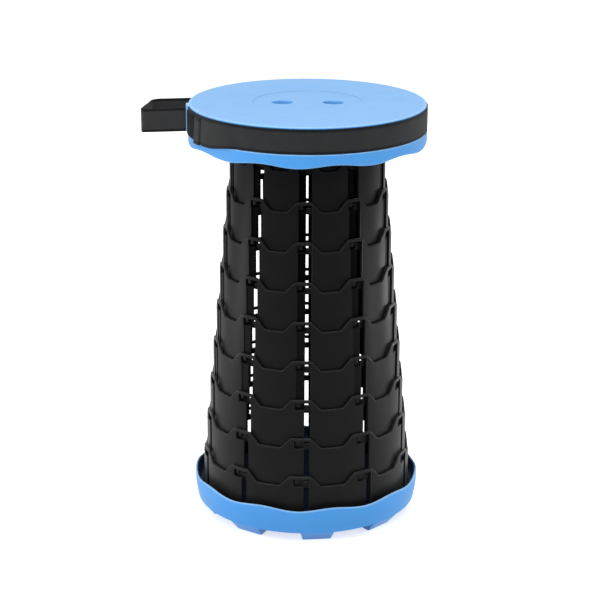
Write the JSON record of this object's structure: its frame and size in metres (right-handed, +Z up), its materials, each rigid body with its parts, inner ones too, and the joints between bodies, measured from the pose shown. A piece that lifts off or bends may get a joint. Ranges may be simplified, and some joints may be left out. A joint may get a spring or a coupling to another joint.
{
  "type": "stool",
  "caption": "Collapsible telescopic stool: castellated rings nest in a footed base tray and slide up to carry a round seat with finger holes and a webbing hand loop.",
  "frame": {"origin": "on the floor, at the middle of the open stool's footprint, hand loop included; the rings' axis stands 24.5 mm towards +X of it", "axes": "+Z up along the rings, from the base tray to the seat; -Y is the front of the picture; the hand loop stands out towards -X"},
  "size_m": [0.299, 0.25, 0.4494],
  "materials": {
    "blue_plastic": "fine satin grain, light sky blue",
    "black_plastic": "satin, near black, with slightly polished edges",
    "webbing": "woven polypropylene webbing, dark grey",
    "screw_steel": "zinc-plated steel"
  },
  "bodies": {
    "base": {"base_tray": "blue_plastic", "ring_10": "black_plastic"},
    "stage_09": {"ring_09": "black_plastic"},
    "stage_08": {"ring_08": "black_plastic"},
    "stage_07": {"ring_07": "black_plastic"},
    "stage_06": {"ring_06": "black_plastic"},
    "stage_05": {"ring_05": "black_plastic"},
    "stage_04": {"ring_04": "black_plastic"},
    "stage_03": {"ring_03": "black_plastic"},
    "stage_02": {"ring_02": "black_plastic"},
    "seat": {"seat_shell": "blue_plastic", "ring_01": "black_plastic", "seat_screw_1": "screw_steel", "seat_screw_2": "screw_steel", "seat_screw_3": "screw_steel", "seat_screw_4": "screw_steel", "seat_screw_5": "screw_steel", "strap_band": "webbing", "strap_fold": "webbing", "strap_keeper": "webbing", "hand_loop": "webbing"}
  },
  "joints": [
    {"name": "stage_09_slide", "type": "slide", "parent": "base", "child": "stage_09", "axis": [0, 0, -1], "range_m": [0, 0.0414]},
    {"name": "stage_08_slide", "type": "slide", "parent": "stage_09", "child": "stage_08", "axis": [0, 0, -1], "range_m": [0, 0.0414]},
    {"name": "stage_07_slide", "type": "slide", "parent": "stage_08", "child": "stage_07", "axis": [0, 0, -1], "range_m": [0, 0.0414]},
    {"name": "stage_06_slide", "type": "slide", "parent": "stage_07", "child": "stage_06", "axis": [0, 0, -1], "range_m": [0, 0.0414]},
    {"name": "stage_05_slide", "type": "slide", "parent": "stage_06", "child": "stage_05", "axis": [0, 0, -1], "range_m": [0, 0.0414]},
    {"name": "stage_04_slide", "type": "slide", "parent": "stage_05", "child": "stage_04", "axis": [0, 0, -1], "range_m": [0, 0.0414]},
    {"name": "stage_03_slide", "type": "slide", "parent": "stage_04", "child": "stage_03", "axis": [0, 0, -1], "range_m": [0, 0.0414]},
    {"name": "stage_02_slide", "type": "slide", "parent": "stage_03", "child": "stage_02", "axis": [0, 0, -1], "range_m": [0, 0.0414]},
    {"name": "seat_slide", "type": "slide", "parent": "stage_02", "child": "seat", "axis": [0, 0, -1], "range_m": [0, 0.0414]}
  ]
}
